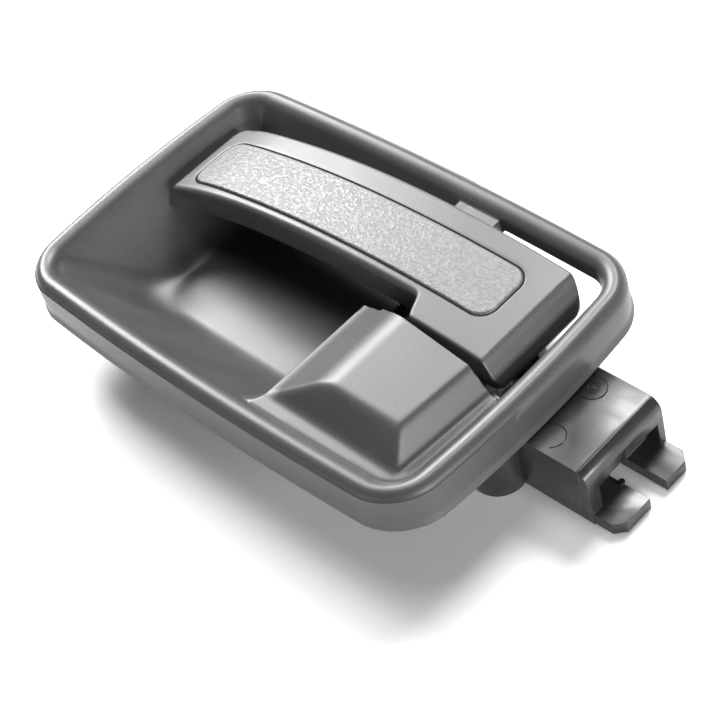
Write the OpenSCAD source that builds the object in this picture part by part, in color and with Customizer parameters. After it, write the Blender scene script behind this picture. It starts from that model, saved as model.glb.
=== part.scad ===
// Inside door pull for a car: a dished bezel, a sprung pull lever and the bracket behind them.
// +Z points out of the door towards the hand, +X along the bezel towards the rod arm.
// The origin is the bezel's centre on the plane where its skirt seats on the door trim.

/* [Bezel] */
// Length of the bezel at its longest
bezel_len = 128; // [126:0.5:130]
// Width of the bezel at its widest
bezel_wid = 81.5; // [81:0.5:83]
// Height of the rim's crest over the door trim
bezel_h = 10; // [9.5:0.1:10.5]
// Radius of the outer corners
corner_r = 12; // [10:0.5:14]
// Bow of each long side
side_bow = 2; // [0:0.1:2.5]
// Bow of each short end
end_bow = 2.5; // [0:0.1:3]
// Width of the rounded rim
rim_w = 6.3; // [6:0.1:6.5]
// Wall of the mouldings
wall = 2.4; // [2.2:0.1:2.6]
// Depth of the finger dish below the rim's crest
dish_depth = 20; // [19:0.5:20.5]

/* [Lever] */
// Height of the lever's arched back over the trim, at mid length
back_h = 13.6; // [13.4:0.1:14]
// Width of the grip
grip_wid = 23.6; // [23:0.1:24]
// Depth of the lever's side walls
side_depth = 7.4; // [7.2:0.1:7.6]
// Height the insert stands proud of the lever's back
insert_proud = 0.3; // [0.1:0.1:0.6]

/* [Pivot] */
// Distance of the pivot from the bezel's centre
pivot_x = 42; // [41.5:0.1:42.5]
// Radius of the pivot pin
pin_r = 2; // [1.8:0.1:2.2]
// Radial running clearance on the pin
run_gap = 0.05; // [0.02:0.01:0.08]
// Distance of the rod clip below the pivot
horn_len = 9; // [8.5:0.1:9.5]
// Radius of the latch rod that the clip takes
rod_r = 1.75; // [1.5:0.05:2]

/* [Bracket] */
// Depth of the bracket below the trim plane
bracket_depth = 16; // [15.5:0.1:17]
// Reach of the rod arm from the bezel's centre
arm_reach = 79; // [76:0.5:82]
// Length of each hook tongue
tongue_len = 6.6; // [5:0.1:8]
// Radius of the thread in each fixing insert
insert_thread_r = 2.1; // [2:0.05:2.2]

/* [Hidden] */
$fn = 48;

skin = 0.02;                       // thickness of the slices that a hull joins
over = 1;                          // how far a cutting tool runs past a face
half_len = bezel_len / 2;
half_wid = bezel_wid / 2;
deck_z = bezel_h - 1.7;            // ledge at the rim's inner foot
deck_under_z = deck_z - wall;
dish_z = bezel_h - dish_depth;     // floor of the dish
base_z = -bracket_depth;

// Lever: near edge, far edge and ends, seen from the front
grip_y0 = 4.6;
grip_y1 = grip_y0 + grip_wid;
wide_y0 = -0.9;                    // near edge of the wide root
grip_x0 = -51.8;
root_x0 = 29;
bend_x = 51;                       // the back turns down here to its end
end_x = 54.4;
end_z = 6.4;
tail_drop = 1.1;                   // extra fall of the back at the free end
side_taper = 3.2;                  // how much shallower the side walls get at the free end
lever_wall = 2.2;
insert_box = [-48.2, 44.2, 6.8, 22.2];  // x0, x1, y0, y1 of the grained insert
insert_t = 1.3;
insert_gap = 0.35;                 // shadow gap round the insert
core_top = 4.6;                    // depth of the core's top face below the lever's back
core_t = 2;
core_x = [-44, 49.5];
core_root = [34.5, 49, 23];        // x0, x1 and far edge of the core's wide part over the ears
cover_screw_x = [-34, 8];
cover_screw_y = 15;
cover_screw_r = 1.2;

// Pivot stack along Y
cheek_near = [-2, 0.7];
cheek_far = [15.5, 18.2];
ear_near = [2, 4.5];
ear_far = [12.4, 14.9];
ear_r = 4.2;
bush_r = 3.1;
horn_hole_r = 2.5;
rod_y = 7.05;                      // line of the latch rod
groove_y = [18.8, 19.4];           // the pin's groove for its retaining clip
clip_half = 2.25;

// Return spring
coil_r = 4.1;
wire_r = 0.55;
coil_turns = 4;
coil_y = [6, 11.2];
ring_steps = 14;

// Bracket
frame_x0 = 25.5;                   // the bracket's frame round the well that the horn swings in
well_x0 = 30.5;
arm_x0 = 57.6;
arm_y = [-5.3, 18.2];
arm_top_z = -0.5;
arm_roll = 3.2;                    // radius of the arm's front top edge
channel_half = 2.65;
tongue_top_z = -13;
boss_at = [54.5, -6.5];
tail_x0 = -8;                      // foot plate under the dish
tail_y = [-2, 30];
foot_t = bracket_depth + dish_z - wall + 0.4;
foot_screws = [[19, 4], [19, 26]];
hump_screw = [46, -14];
hump_boss_z = 4;                   // foot of the screw boss inside the hump
hump_boss_r = 3.6;
screw_r = 1.25;                    // bracket screws, and their clearance holes
screw_clear_r = 1.7;
step_y = [-2.5, 33.2];             // sides of the raised floor under the lever
opening_x = [25, 57.3];            // the lever's opening in the bezel
bumper_at = [28, rod_y + 3];
bumper_r = 2.6;
insert_at = [boss_at, [31, 21.6]];
insert_r = 3.2;
insert_len = 8;
head_sink = 2;                     // counterbore for a screw head and its washer
washer_t = 0.4;

// Height of the lever's arched back at x
function back(x) = back_h + 2.32 * (x / 50) - 3.18 * pow(x / 50, 2)
    - tail_drop * pow(max(0, (-x - 37) / 15), 2);

// Points of an arc
function arc(c, r, a0, a1, n = 6) =
    [for (i = [0:n]) let (a = a0 + (a1 - a0) * i / n) [c[0] + r * cos(a), c[1] + r * sin(a)]];

// Rectangle with round corners, points on its straight sides too
function soft_rect(x0, x1, y0, y1, r, n = 6) = concat(
    arc([x1 - r, y1 - r], r, 0, 90, n),
    [for (i = [1:n - 1]) [x1 - r - (x1 - x0 - 2 * r) * i / n, y1]],
    arc([x0 + r, y1 - r], r, 90, 180, n),
    [for (i = [1:n - 1]) [x0, y1 - r - (y1 - y0 - 2 * r) * i / n]],
    arc([x0 + r, y0 + r], r, 180, 270, n),
    [for (i = [1:n - 1]) [x0 + r + (x1 - x0 - 2 * r) * i / n, y0]],
    arc([x1 - r, y0 + r], r, 270, 360, n),
    [for (i = [1:n - 1]) [x1, y0 + r + (y1 - y0 - 2 * r) * i / n]]);

// The bezel's bowed outline, drawn in by inset
function rim_line(inset) = let (hx = half_len - inset, hy = half_wid - inset)
    [for (p = soft_rect(-hx, hx, -hy, hy, max(corner_r - inset, 4)))
        [p[0] * (1 - end_bow / half_len * pow(p[1] / half_wid, 2)),
         p[1] * (1 - side_bow / half_wid * pow(p[0] / half_len, 2))]];

module slice(points, z) {
    translate([0, 0, z]) linear_extrude(skin) polygon(points);
}

module block(x0, x1, y0, y1, z0, z1) {
    translate([x0, y0, z0]) cube([x1 - x0, y1 - y0, z1 - z0]);
}

// Cylinder along Y between y0 and y1, at [x, z]
module rod_along_y(at, r, y0, y1) {
    translate([at[0], y1, at[1]]) rotate([90, 0, 0]) cylinder(h = y1 - y0, r = r);
}

// A plate in the XZ plane between y0 and y1
module side_plate(y0, y1) {
    translate([0, y1, 0]) rotate([90, 0, 0]) linear_extrude(y1 - y0) children();
}

// ---------------------------------------------------------------- bezel

// [height, inset] up the outside of the rim
rim_roll = [[0, 0], [bezel_h - 5, 0], [bezel_h - 2.5, 0.7], [bezel_h - 0.9, 1.9], [bezel_h, 3.4]];

module rim_body() {
    hull() for (s = rim_roll) slice(rim_line(s[1]), s[0] - skin * (s[0] > 0 ? 1 : 0));
}

module rim_recess() {
    hull() {
        slice(rim_line(rim_w), deck_z);
        slice(rim_line(rim_w - 0.9), deck_z + 0.8);
        slice(rim_line(3.9), bezel_h);
    }
}

module skirt_hollow() {
    translate([0, 0, -over]) linear_extrude(bezel_h - 6 + over) polygon(rim_line(wall));
    translate([0, 0, -over]) linear_extrude(deck_under_z + over) polygon(rim_line(rim_w - 2.2));
}

// The scoop for the fingers, grown by t on its outside
module scoop(t) {
    top = deck_z + (t > 0 ? -0.2 : 0.6);
    hull() {
        slice(soft_rect(-57.2 - t, 16 + t, -33.6 - t, 33.4 + t, 6 + t), top);
        slice(soft_rect(-47.4 - t, 14 + t, -21.2 - t, 30.6 + t, 8 + t), dish_z + 2.2 - t * 0.6);
        slice(soft_rect(-44.4 - t, 13 + t, -18 - t, 29.5 + t, 8 + t), dish_z - t);
    }
}

// The hump beside the lever, shrunk by t
module hump(t) {
    hull() {
        for (p = [[16, -29.5], [52.4, -29.5], [53.2, -5.5], [17, -5.3]])
            translate([p[0] + sign(34 - p[0]) * t, p[1] + sign(-17 - p[1]) * t, deck_z - 1 - t])
                cylinder(h = skin, r = 2.2, $fn = 24);
        for (p = [[30, -22.5], [48, -22], [49.2, -6], [31.2, -4.5]])
            translate([p[0] + sign(40 - p[0]) * t, p[1] + sign(-14 - p[1]) * t, bezel_h + 4.2 - t])
                cylinder(h = skin, r = 1.8, $fn = 24);
    }
}

module hump_boss(r) {
    translate([hump_screw[0], hump_screw[1], hump_boss_z]) cylinder(h = 8, r = r);
}

module bezel() {
    color([0.36, 0.37, 0.38])
    difference() {
        union() {
            difference() {
                rim_body();
                rim_recess();
                skirt_hollow();
            }
            scoop(wall - 0.4);
            block(10, 25, -5, 35.2, dish_z - wall + 0.4, deck_under_z + 1);
            hump(0);
        }
        scoop(0);
        difference() {
            hump(wall);
            hump_boss(hump_boss_r);
        }
        difference() {
            block(18, 52, -29, -5, -20, deck_under_z);
            hump_boss(hump_boss_r);
        }
        // Under the lever the dish steps up over the screw bosses and ends at a low wall
        block(9, 14.5, step_y[0], step_y[1], dish_z, 20);
        block(14, 23, step_y[0], step_y[1], -2.5, 20);
        block(22, opening_x[0] + 1, step_y[0], step_y[1], 3, 20);
        translate([0, 0, -30]) linear_extrude(60)
            polygon(soft_rect(opening_x[0], opening_x[1], step_y[0], step_y[1] + 0.4, 4));
        for (p = foot_screws) translate([p[0], p[1], base_z]) cylinder(h = 12, r = screw_r);
        hump_boss(screw_r);
        // Relief in the skirt over the rod arm
        block(half_len - 6, half_len + over, arm_y[0] - 0.6, arm_y[1] + 0.6, -over, 0.4);
    }
}

// ---------------------------------------------------------------- bracket

module cheek(y) {
    side_plate(y[0], y[1]) union() {
        translate([pivot_x, 0]) circle(r = 5);
        polygon([[pivot_x - 5, 0], [pivot_x + 5, 0], [pivot_x + 8, -8], [pivot_x + 8, base_z],
                 [pivot_x - 8, base_z], [pivot_x - 8, -8]]);
    }
}

module arm() {
    difference() {
        union() {
            block(arm_x0, arm_reach - arm_roll, arm_y[0], arm_y[1], base_z, arm_top_z);
            block(arm_x0, arm_reach, arm_y[0], arm_y[1], base_z, arm_top_z - arm_roll);
            side_plate(arm_y[0], arm_y[1])
                translate([arm_reach - arm_roll, arm_top_z - arm_roll]) circle(r = arm_roll);
            for (y = [[arm_y[0] + 0.3, rod_y - channel_half], [rod_y + channel_half, arm_y[1] - 0.4]])
                block(arm_reach - 4, arm_reach + tongue_len, y[0], y[1], base_z, tongue_top_z);
        }
        // Channel for the latch rod, with an arched roof
        translate([arm_x0 - over, rod_y, -6.6]) rotate([0, 90, 0])
            cylinder(h = arm_reach + tongue_len, r = channel_half);
        block(arm_x0 - over, arm_reach + 9, rod_y - channel_half, rod_y + channel_half,
              base_z - over, -6.6);
        // A pocket in the front of each leg
        for (y = [[-2.2, rod_y], [rod_y, 16.4]])
            block(arm_reach - 3.6, arm_reach + over, y[0], y[1], tongue_top_z, -6.4);
        // Slot through the far leg
        rod_along_y([arm_reach - 6.2, -11], 1.3, rod_y, arm_y[1] + over);
        // Outer corner of each tongue cut back
        for (s = [[arm_y[0], 1], [arm_y[1], -1]])
            translate([arm_reach + tongue_len, s[0], base_z - over]) rotate([0, 0, 45])
                cube([3.4, 3.4, 8], center = true);
    }
}

module bracket() {
    color([0.25, 0.26, 0.27])
    difference() {
        union() {
            arm();
            cheek(cheek_near);
            cheek(cheek_far);
            for (y = [cheek_near, cheek_far]) block(frame_x0, arm_x0 + 1, y[0], y[1], base_z, -8);
            block(frame_x0, well_x0, cheek_near[0], cheek_far[1], base_z, -4.9);
            block(tail_x0, well_x0, tail_y[0], tail_y[1], base_z, base_z + foot_t);
            translate([bumper_at[0], bumper_at[1], base_z]) cylinder(h = 3 - base_z, r = bumper_r);
            block(arm_x0 - 8, arm_x0 + 1, arm_y[0] + 1, cheek_near[1], base_z, -8);
            translate([boss_at[0], boss_at[1], base_z]) cylinder(h = 14, r = 6);
            translate([boss_at[0], boss_at[1], -3]) cylinder(h = deck_under_z + 3, r = 3.9);
            translate([insert_at[1][0], insert_at[1][1], base_z]) cylinder(h = 10, r = 5.2);
            translate([hump_screw[0], hump_screw[1], base_z + 8])
                cylinder(h = hump_boss_z - base_z - 8, r = 4.6);
            block(42, 50, hump_screw[1], cheek_near[1], base_z + 8, base_z + 11);
        }
        rod_along_y([pivot_x, 0], pin_r, -3, 19);
        for (p = foot_screws) translate([p[0], p[1], base_z - over]) {
            cylinder(h = 8, r = screw_clear_r);
            cylinder(h = head_sink + over, r = 4.3);
        }
        translate([hump_screw[0], hump_screw[1], -20]) cylinder(h = 30, r = screw_clear_r);
        for (p = insert_at) translate([p[0], p[1], base_z - over])
            cylinder(h = insert_len + over, r = insert_r);
    }
}

// ---------------------------------------------------------------- lever

// Seen from the front: a straight grip, and a wide root past its notch
module lever_plan(inset) {
    y0 = grip_y0 + inset;
    y1 = grip_y1 - inset;
    far = arc([end_x - 5, y1 - 5.4], 5 - inset, 0, 90);
    polygon(concat(
        far,
        [for (i = [1:7]) let (t = i / 8)
            [end_x - 5 - (end_x - 9 - grip_x0) * t, y1 + 4.8 * t * (1 - t) - 0.4]],
        arc([grip_x0 + 4, y1 - 4.4], 4 - inset, 90, 180),
        arc([grip_x0 + 3, y0 + 1], 3 - inset, 180, 270),
        [[-20, y0], [root_x0 + inset - 1, y0], [root_x0 + inset + 1.2, y0 - 1.4],
         [root_x0 + inset + 1.6, wide_y0 + inset + 1], [root_x0 + inset + 2.6, wide_y0 + inset]],
        arc([end_x - 2, wide_y0 + 2], 2 - inset, 270, 360)));
}

// Seen from the side: a band that follows the arched back, from drop to depth below it.
// Its underside rises by taper towards the free end.
module lever_profile(drop, depth, x0, x1, taper = 0) {
    steps = 20;
    turn = min(bend_x, x1);
    polygon(concat(
        [for (i = [0:steps]) let (x = x0 + (turn - x0) * i / steps) [x, back(x) - drop]],
        x1 > bend_x ? [[x1, end_z + 0.6 - drop * 0.4], [x1, end_z - 0.6]] : [],
        [for (i = [0:steps]) let (x = turn - (turn - x0) * i / steps)
            [x, back(x) - depth + taper * max(0, (-x - 40) / 12)]]));
}

module lever_cover() {
    color([0.42, 0.43, 0.44])
    difference() {
        intersection() {
            side_plate(-10, 40) lever_profile(0, side_depth, grip_x0, end_x, side_taper);
            translate([0, 0, -10]) linear_extrude(40) lever_plan(0);
        }
        difference() {
            intersection() {
                side_plate(-10, 40)
                    lever_profile(lever_wall, side_depth + 3, grip_x0 - 4, end_x - lever_wall);
                translate([0, 0, -20]) linear_extrude(60) lever_plan(lever_wall);
            }
            for (x = cover_screw_x) translate([x, cover_screw_y, back(x) - core_top + 0.5])
                cylinder(h = 6, r = 3);
        }
        // Seat for the insert, with the shadow gap round it
        intersection() {
            side_plate(-10, 40) lever_profile(insert_t, -4, -60, 50);
            translate([0, 0, -10]) linear_extrude(60)
                polygon(soft_rect(insert_box[0] - insert_gap, insert_box[1] + insert_gap,
                                  insert_box[2] - insert_gap, insert_box[3] + insert_gap, 4.35));
        }
        for (x = cover_screw_x) translate([x, cover_screw_y, back(x) - core_top - over])
            cylinder(h = 3.4, r = cover_screw_r);
    }
}

module lever_insert() {
    color([0.55, 0.56, 0.57])
    intersection() {
        side_plate(-10, 40) lever_profile(-insert_proud, insert_t, -60, 50);
        translate([0, 0, -10]) linear_extrude(60)
            polygon(soft_rect(insert_box[0], insert_box[1], insert_box[2], insert_box[3], 4));
    }
}

module lever_core() {
    color([0.5, 0.51, 0.52])
    difference() {
        union() {
            intersection() {
                side_plate(-10, 40) lever_profile(core_top, core_top + core_t, core_x[0], core_x[1]);
                union() {
                    translate([0, 0, -10]) linear_extrude(40)
                        polygon(soft_rect(core_x[0], 40, grip_y0 + 3.4, grip_y1 - 3.6, 4));
                    block(core_root[0], core_root[1], ear_near[0], core_root[2], -10, 30);
                }
            }
            for (e = [ear_near, ear_far]) side_plate(e[0], e[1]) union() {
                translate([pivot_x, 0]) circle(r = ear_r);
                translate([pivot_x - ear_r, 0]) square([2 * ear_r, back(pivot_x) - core_top - 1]);
            }
            // The horn that pulls the rod
            side_plate(ear_near[0], ear_near[1]) union() {
                translate([pivot_x - ear_r, -horn_len]) square([2 * ear_r, horn_len]);
                translate([pivot_x, -horn_len]) circle(r = ear_r);
            }
        }
        rod_along_y([pivot_x, 0], bush_r, -5, 20);
        rod_along_y([pivot_x, -horn_len], horn_hole_r, -5, 8);
        for (x = cover_screw_x) translate([x, cover_screw_y, back(x) - 12]) cylinder(h = 12, r = 1.5);
    }
}

// Self-tapping screw, head at the bottom, shank upwards
module screw(head_r, head_h, shank_r, length) {
    difference() {
        union() {
            cylinder(h = head_h, r = head_r);
            cylinder(h = length, r = shank_r);
        }
        for (a = [0, 90]) rotate([0, 0, a]) cube([head_r * 1.2, 0.6, 1.2], center = true);
    }
}

module cover_screws() {
    color([0.7, 0.7, 0.72])
    for (x = cover_screw_x) translate([x, cover_screw_y, back(x) - core_top - core_t - 1.6])
        screw(2.5, 1.1, cover_screw_r, 5.2);
}

// ---------------------------------------------------------------- pivot

module pivot_pin() {
    color([0.72, 0.72, 0.74])
    difference() {
        union() {
            rod_along_y([pivot_x, 0], pin_r, cheek_near[0], 20.4);
            rod_along_y([pivot_x, 0], pin_r + 1.2, cheek_near[0] - 0.45, cheek_near[0]);
        }
        // Groove for the retaining clip
        difference() {
            rod_along_y([pivot_x, 0], pin_r + 1, groove_y[0], groove_y[1]);
            rod_along_y([pivot_x, 0], pin_r - 0.5, 18, 20);
        }
    }
}

module pin_washer() {
    color([0.75, 0.75, 0.76])
    difference() {
        rod_along_y([pivot_x, 0], pin_r + 2.4, cheek_far[1], cheek_far[1] + 0.6);
        rod_along_y([pivot_x, 0], pin_r + 0.1, 17, 20);
    }
}

module pin_clip() {
    color([0.3, 0.3, 0.32])
    side_plate(groove_y[0] + 0.02, groove_y[1] - 0.02) translate([pivot_x, 0]) difference() {
        circle(r = pin_r + 2);
        circle(r = pin_r - 0.5);
        translate([-(pin_r - 0.6), -9]) square([2 * (pin_r - 0.6), 9]);
    }
}

module pivot_bush(y0, y1, flange_y0, flange_y1) {
    color([0.9, 0.9, 0.86])
    difference() {
        union() {
            rod_along_y([pivot_x, 0], bush_r, y0, y1);
            rod_along_y([pivot_x, 0], bush_r + 0.9, flange_y0, flange_y1);
        }
        rod_along_y([pivot_x, 0], pin_r + run_gap, -5, 20);
    }
}

module near_bush() {
    pivot_bush(ear_near[0] - 0.6, ear_near[1], ear_near[0] - 0.6, ear_near[0]);
}

module far_bush() {
    pivot_bush(ear_far[0], ear_far[1] + 0.4, ear_far[1], ear_far[1] + 0.4);
}

module spring_spool() {
    color([0.9, 0.9, 0.86])
    difference() {
        rod_along_y([pivot_x, 0], 3.2, ear_near[1] + 0.1, ear_far[0] - 0.1);
        rod_along_y([pivot_x, 0], pin_r + run_gap, 0, 20);
    }
}

// Torsion spring: a coil round the spool, one leg up under the core, one on the cross wall
function coil_point(i) = let (a = 90 + 360 * i / ring_steps, n = coil_turns * ring_steps)
    [pivot_x + coil_r * cos(a), coil_y[1] - (coil_y[1] - coil_y[0]) * i / n, coil_r * sin(a)];
spring_path = concat([[pivot_x + 7, coil_y[1], 4.9]],
                     [for (i = [0:coil_turns * ring_steps]) coil_point(i)],
                     [[33.6, coil_y[0], 1.4], [well_x0 - 1.8, coil_y[0], -4.3]]);

function unit(v) = v / norm(v);
function ring(path, i, r, sides) = let (
        a = path[max(i - 1, 0)], b = path[min(i + 1, len(path) - 1)],
        d = unit(b - a), u = unit(cross(d, [0, 1, 0.01])), v = cross(u, d))
    [for (k = [0:sides - 1]) path[i] + r * (cos(360 * k / sides) * u + sin(360 * k / sides) * v)];

module sweep(path, r, sides = 8) {
    n = len(path);
    points = [for (i = [0:n - 1]) each ring(path, i, r, sides)];
    polyhedron(points = points, faces = concat(
        [[for (k = [0:sides - 1]) k]],
        [for (i = [0:n - 2], k = [0:sides - 1]) let (k2 = (k + 1) % sides)
            [i * sides + k, (i + 1) * sides + k, (i + 1) * sides + k2, i * sides + k2]],
        [[for (k = [0:sides - 1]) n * sides - 1 - k]]));
}

module return_spring() {
    color([0.66, 0.66, 0.68]) sweep(spring_path, wire_r);
}

// ---------------------------------------------------------------- rod clip, bumpers, fasteners

module rod_clip() {
    color([0.88, 0.88, 0.84])
    difference() {
        union() {
            rod_along_y([pivot_x, -horn_len], horn_hole_r - 0.06, ear_near[0] - 0.2, rod_y - clip_half);
            rod_along_y([pivot_x, -horn_len], horn_hole_r + 0.7, 0.95, ear_near[0] - 0.15);
            block(pivot_x - 4, pivot_x + 4, rod_y - clip_half, rod_y + clip_half,
                  -horn_len - 3, -horn_len + 3);
        }
        translate([pivot_x - 5, rod_y, -horn_len]) rotate([0, 90, 0]) cylinder(h = 10, r = rod_r);
    }
}

module rest_bumper() {
    color([0.12, 0.12, 0.12])
    translate([bumper_at[0], bumper_at[1], 3])
        cylinder(h = back(bumper_at[0]) - core_top - core_t - 3.1, r = bumper_r);
}

module open_bumper() {
    color([0.12, 0.12, 0.12])
    block(well_x0, well_x0 + 2.2, ear_near[0] + 0.2, ear_near[1] - 0.2, -10, -5.5);
}

module bracket_screws() {
    color([0.7, 0.7, 0.72]) {
        for (p = foot_screws) translate([p[0], p[1], base_z])
            screw(3.2, head_sink - washer_t, screw_r, 11.5);
        translate([hump_screw[0], hump_screw[1], base_z + 6]) screw(3.2, 1.6, screw_r, 18);
    }
}

module bracket_washers() {
    color([0.75, 0.75, 0.76])
    for (p = [[foot_screws[0], base_z + head_sink - washer_t],
              [foot_screws[1], base_z + head_sink - washer_t],
              [hump_screw, base_z + 8 - washer_t]])
        translate([p[0][0], p[0][1], p[1]]) difference() {
            cylinder(h = washer_t, r = 4);
            translate([0, 0, -over]) cylinder(h = washer_t + 2 * over, r = screw_clear_r);
        }
}

module fixing_inserts() {
    color([0.75, 0.6, 0.25])
    for (p = insert_at) translate([p[0], p[1], base_z]) difference() {
        cylinder(h = insert_len, r = insert_r);
        translate([0, 0, -over]) cylinder(h = insert_len + 2 * over, r = insert_thread_r);
    }
}

bezel();
bracket();
lever_cover();
lever_core();
lever_insert();
cover_screws();
pivot_pin();
pin_washer();
pin_clip();
near_bush();
far_bush();
spring_spool();
return_spring();
rod_clip();
rest_bumper();
open_bumper();
bracket_screws();
bracket_washers();
fixing_inserts();
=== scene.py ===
import math

import bmesh
import bpy
import numpy as np
from mathutils import Matrix, Vector
from mathutils.geometry import delaunay_2d_cdt


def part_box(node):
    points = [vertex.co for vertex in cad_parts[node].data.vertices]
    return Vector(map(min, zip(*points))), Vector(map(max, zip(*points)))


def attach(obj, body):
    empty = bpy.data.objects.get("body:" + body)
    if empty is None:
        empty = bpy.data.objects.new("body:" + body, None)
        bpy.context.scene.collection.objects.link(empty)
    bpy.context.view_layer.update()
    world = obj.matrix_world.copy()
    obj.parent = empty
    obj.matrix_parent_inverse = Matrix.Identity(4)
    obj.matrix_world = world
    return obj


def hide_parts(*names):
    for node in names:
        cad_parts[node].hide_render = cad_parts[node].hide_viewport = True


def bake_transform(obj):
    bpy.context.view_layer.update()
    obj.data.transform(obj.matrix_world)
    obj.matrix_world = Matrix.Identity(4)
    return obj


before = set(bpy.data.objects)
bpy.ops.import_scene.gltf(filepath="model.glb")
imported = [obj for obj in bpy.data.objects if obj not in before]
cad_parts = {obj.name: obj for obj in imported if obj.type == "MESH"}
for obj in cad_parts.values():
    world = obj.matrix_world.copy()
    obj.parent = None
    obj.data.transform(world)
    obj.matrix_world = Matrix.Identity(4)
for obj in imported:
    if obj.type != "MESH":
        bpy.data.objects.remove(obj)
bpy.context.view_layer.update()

MM = 0.001

# ---------------------------------------------------------------- sizes, in mm


def box_mm(node):
    """The lowest and the highest corner of a node."""
    lo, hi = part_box(node)
    return lo / MM, hi / MM


bezel_hi = box_mm("bezel")[1]
bracket_lo, bracket_hi = box_mm("bracket")
cover_hi, insert_hi = box_mm("lever_cover")[1], box_mm("lever_insert")[1]
pin_lo, pin_hi = box_mm("pivot_pin")

HALF_LEN, HALF_WID = bezel_hi.x, bezel_hi.y
HUMP_Z = bezel_hi.z                   # top of the hump
CREST_Z = HUMP_Z - 4.2                # top of the rim
DECK_Z = CREST_Z - 1.7                # the ledge inside the rim
FLOOR_Z = CREST_Z - 20                # floor of the finger dish
BASE_Z = bracket_lo.z                 # the bracket's back
PIVOT_X = (pin_lo.x + pin_hi.x) / 2

CORNER_R = 12.0
END_BOW, SIDE_BOW = 2.5, 2.0
RIM_W = 6.3
WALL = 2.4
ROLL_R, ROLL_DROP = 3.2, 5            # the rim's outer roll, and its fall to the outline
FLANK_R = 3.68                        # the rim's inner roll
FOOT_SLOPE = 1.563                    # how the rim's foot runs on below the ledge
INNER_X0, INNER_X1 = -57.7, 57.5      # the rim's inner foot at the two ends, before the bow
INNER_Y = 34.3                        # and at the two sides

DISH_X1 = 16.0                        # right end of the finger dish
DISH_LEAN = (12.4, 3, 15.6, 4.2)      # how far its left, right, near and far walls lean in
DISH_R = 5.7

HUMP_LEFT, HUMP_NEAR, HUMP_RIGHT = 28.8, -24.0, 49.9      # the edges of the hump's top
HUMP_SLOPES = (0.48, 0.95, 1.5)       # and the slope of the face below each of them
HUMP_SKEW = 0.075                     # the right edge isn't quite square to the others

OPENING_X0 = 23.9
OPENING_R = 5.6
STEP_X0, STEP_X1 = 14.5, 22.7         # the raised floor under the lever, and the low wall that ends it
STEP_Z, STEP_WALL_Z = -2.5, 4.0
STEEP = 12                            # slope of a wall that stands almost upright
TAB_X, TAB_Y, TAB_Z = (12.2, 24.2), 30.2, 7.9      # the tab against the far rim

FOOT_SCREWS = ((19, 4), (19, 26))
HUMP_SCREW = (46, -14)
COVER_SCREWS = ((-34, 15), (8, 15))

# ---------------------------------------------------------------- small geometry helpers


def smooth_min(a, b, k):
    """The lower of a and b, rounded off over k where they meet."""
    h = np.clip(0.5 + 0.5 * (b - a) / k, 0, 1)
    return b + (a - b) * h - k * h * (1 - h)


def smooth_max(a, b, k):
    """The higher of a and b, rounded off over k where they meet."""
    return -smooth_min(-a, -b, k)


def ease(x):
    """0 below 0, 1 above 1, smooth between."""
    x = np.clip(x, 0, 1)
    return x * x * (3 - 2 * x)


def arc(cx, cy, r, a0, a1, n):
    """Points along an arc, its angles in degrees."""
    a = np.radians(np.linspace(a0, a1, n))
    return np.stack([cx + r * np.cos(a), cy + r * np.sin(a)], 1)


def round_box_loop(x0, x1, y0, y1, r, spacing):
    """Closed loop of points round a box with round corners."""
    corner = max(6, int(1.57 * r / spacing))

    def side(p, q):
        n = max(2, int(math.dist(p, q) / spacing))
        return np.linspace(p, q, n, endpoint=False)[1:]

    return np.concatenate([
        arc(x1 - r, y1 - r, r, 0, 90, corner), side((x1 - r, y1), (x0 + r, y1)),
        arc(x0 + r, y1 - r, r, 90, 180, corner), side((x0, y1 - r), (x0, y0 + r)),
        arc(x0 + r, y0 + r, r, 180, 270, corner), side((x0 + r, y0), (x1 - r, y0)),
        arc(x1 - r, y0 + r, r, 270, 360, corner), side((x1, y0 + r), (x1, y1 - r))])


def respaced(points, spacing):
    """The closed polygon with a point about every spacing along it."""
    out = []
    for p, q in zip(points, np.roll(points, -1, 0)):
        n = max(1, int(round(np.linalg.norm(q - p) / spacing)))
        out += [p + (q - p) * i / n for i in range(n)]
    return np.array(out)


def inside(points, loop):
    """Which points lie inside the closed loop."""
    x, y = points[:, 0], points[:, 1]
    hit = np.zeros(len(points), bool)
    for (x0, y0), (x1, y1) in zip(loop, np.roll(loop, -1, 0)):
        if y0 != y1:
            hit ^= ((y0 > y) != (y1 > y)) & (x < (x1 - x0) * (y - y0) / (y1 - y0) + x0)
    return hit


def distance_to(points, loop):
    """Distance of each point from the closed loop's line."""
    best = np.full(len(points), 1e9)
    for p, q in zip(loop, np.roll(loop, -1, 0)):
        d = q - p
        t = np.clip(((points - p) @ d) / max(d @ d, 1e-12), 0, 1)
        best = np.minimum(best, np.linalg.norm(points - p - t[:, None] * d, axis=1))
    return best


def drawn_in(loop, inset):
    """Each point of the loop drawn in by inset, none left out."""
    d = np.roll(loop, -1, 0) - np.roll(loop, 1, 0)
    n = np.stack([-d[:, 1], d[:, 0]], 1) / np.linalg.norm(d, axis=1)[:, None]
    return loop + n * inset


def offset_loop(loop, inset):
    """The loop drawn in by inset; points that would cross another part of it are left out."""
    moved = drawn_in(loop, inset)
    keep = (distance_to(moved, loop) > abs(inset) * 0.93) & (inside(moved, loop) == (inset > 0))
    return moved[keep]


def grid_points(x0, x1, y0, y1, spacing):
    """Rows of points, every other row moved by half a space."""
    xs, ys = np.arange(x0, x1, spacing), np.arange(y0, y1, spacing)
    gx, gy = np.meshgrid(xs, ys)
    gx = gx + 0.5 * spacing * (np.arange(len(ys)) % 2)[:, None]
    return np.stack([gx.ravel(), gy.ravel()], 1)


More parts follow.
